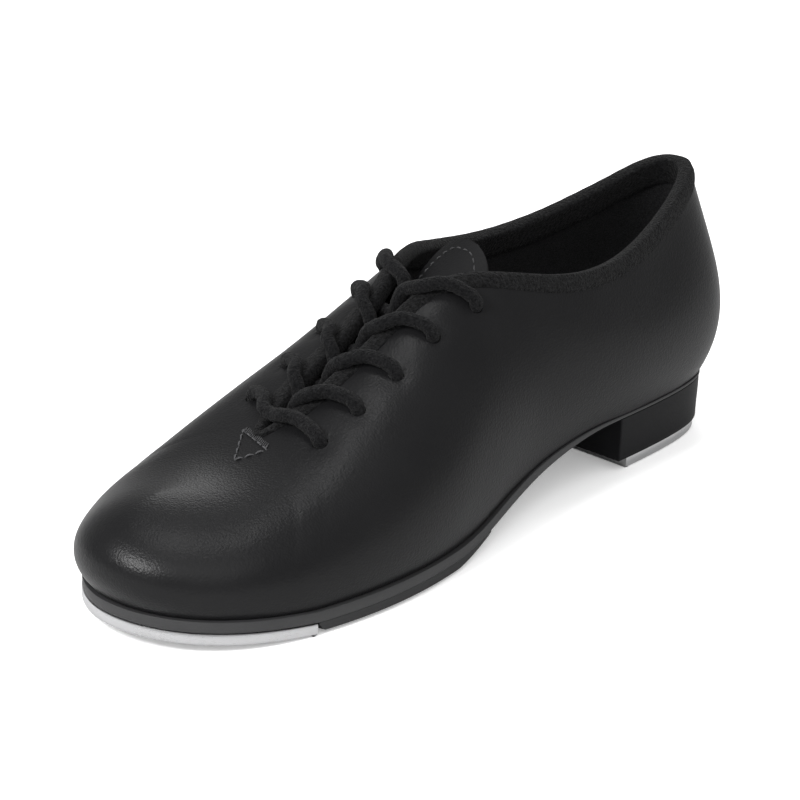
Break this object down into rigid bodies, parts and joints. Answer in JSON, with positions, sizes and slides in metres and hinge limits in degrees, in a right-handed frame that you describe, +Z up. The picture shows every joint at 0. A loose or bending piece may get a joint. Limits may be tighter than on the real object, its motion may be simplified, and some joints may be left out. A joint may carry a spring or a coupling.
{
  "type": "tap shoe",
  "caption": "Right-foot lace-up tap shoe: smooth leather upper with a laced throat, knitted topline binding, low block heel, and aluminium taps under toe and heel.",
  "frame": {"origin": "on the floor, at the centre of the heel tap's contact face", "axes": "+Z up; toe towards -Y; +X is the inner (medial) side of the right foot"},
  "size_m": [0.0908, 0.2568, 0.0893],
  "materials": {
    "upper_leather": "smooth black full-grain, fine pebble, soft sheen",
    "lining_fabric": "black brushed textile",
    "binding_knit": "black knitted tape",
    "tongue_leather": "black split leather, dull",
    "thread": "black thread",
    "eyelet_metal": "black lacquered",
    "lace_cotton": "black braided cotton cord",
    "aglet_plastic": "black gloss",
    "stiffener": "thermoplastic sheet",
    "insole_fibre": "pressed fibre board",
    "sock_fabric": "black textile",
    "foam": "foam",
    "steel": "plain steel",
    "cork": "granulated cork",
    "sole_rubber": "black, satin edge",
    "tap_aluminium": "satin cast and ground",
    "heel_plastic": "black satin"
  },
  "bodies": {
    "shoe": {"upper": "upper_leather", "lining": "lining_fabric", "topline_binding": "binding_knit", "eyelets": "eyelet_metal", "lace": "lace_cotton", "aglets": "aglet_plastic", "throat_stitch": "thread", "heel_counter": "stiffener", "insole_board": "insole_fibre", "sock_liner": "sock_fabric", "heel_pad": "foam", "shank": "steel", "bottom_filler": "cork", "outsole": "sole_rubber", "forefoot_pad": "sole_rubber", "heel_block": "heel_plastic", "heel_tap": "tap_aluminium", "heel_tap_screws": "steel", "heel_nails": "steel"},
    "toe": {"toe_puff": "stiffener", "toe_tap": "tap_aluminium", "toe_tap_screws": "steel"},
    "tongue": {"tongue": "tongue_leather", "tongue_lining": "lining_fabric", "tongue_stitching": "thread"}
  },
  "joints": [
    {"name": "toe_flex", "type": "hinge", "parent": "shoe", "child": "toe", "pos_m": [0, -0.159, 0.006], "axis": [-1, 0, 0], "range_deg": [0, 30], "stiffness_Nm_per_rad": 3, "deforming": ["upper", "lining", "topline_binding", "lace", "eyelets", "throat_stitch", "insole_board", "sock_liner", "bottom_filler", "outsole", "forefoot_pad"]},
    {"name": "tongue_tilt", "type": "hinge", "parent": "shoe", "child": "tongue", "pos_m": [0, -0.155, 0.036], "axis": [-1, 0, 0], "range_deg": [0, 12], "stiffness_Nm_per_rad": 0.05}
  ]
}
